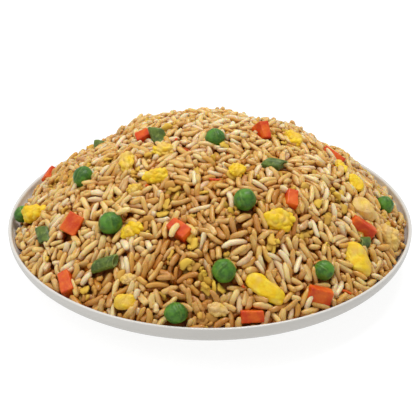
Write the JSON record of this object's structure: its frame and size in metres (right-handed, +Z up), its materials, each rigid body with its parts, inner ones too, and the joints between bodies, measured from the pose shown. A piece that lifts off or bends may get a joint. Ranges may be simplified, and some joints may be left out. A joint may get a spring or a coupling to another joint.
{
  "type": "fried rice plate",
  "caption": "Heap of egg fried rice with peas, diced carrot and green beans, domed on a small round white coupe plate.",
  "frame": {"origin": "on the table under the middle of the plate, the centre of its foot ring", "axes": "+Z up; the viewer stands at -Y, with +X to the right. The plate is round, so X and Y are set only by where the toppings lie"},
  "size_m": [0.175, 0.175, 0.0659],
  "materials": {
    "glaze": "white gloss glaze on porcelain",
    "rice": "soft satin sheen of oiled, soy-browned cooked rice",
    "pea": "slightly wrinkled green skin with a soft wet gloss",
    "carrot": "cut cooked carrot, fine grain, soft wet gloss",
    "bean": "cooked green bean skin, soft gloss, paler at the cut ends",
    "egg": "soft scrambled egg curd, yellow with browned patches"
  },
  "bodies": {
    "root": {"plate": "glaze", "rice_heap": "rice", "pea_1": "pea", "pea_2": "pea", "pea_3": "pea", "pea_4": "pea", "pea_5": "pea", "pea_6": "pea", "pea_7": "pea", "pea_8": "pea", "pea_9": "pea", "pea_10": "pea", "pea_11": "pea", "pea_12": "pea", "carrot_1": "carrot", "carrot_2": "carrot", "carrot_3": "carrot", "carrot_4": "carrot", "carrot_5": "carrot", "carrot_6": "carrot", "carrot_7": "carrot", "carrot_8": "carrot", "carrot_9": "carrot", "carrot_10": "carrot", "carrot_11": "carrot", "carrot_12": "carrot", "carrot_13": "carrot", "carrot_14": "carrot", "carrot_15": "carrot", "bean_1": "bean", "bean_2": "bean", "bean_3": "bean", "bean_4": "bean", "bean_5": "bean", "bean_6": "bean", "bean_7": "bean", "bean_8": "bean", "bean_9": "bean", "egg_1": "egg", "egg_2": "egg", "egg_3": "egg", "egg_4": "egg", "egg_5": "egg", "egg_6": "egg", "egg_7": "egg", "egg_8": "egg", "egg_9": "egg", "egg_10": "egg", "egg_11": "egg", "egg_12": "egg", "egg_13": "egg", "egg_14": "egg", "egg_15": "egg", "egg_16": "egg", "egg_17": "egg", "egg_18": "egg", "egg_19": "egg", "egg_20": "egg", "egg_21": "egg", "egg_22": "egg"}
  },
  "joints": []
}
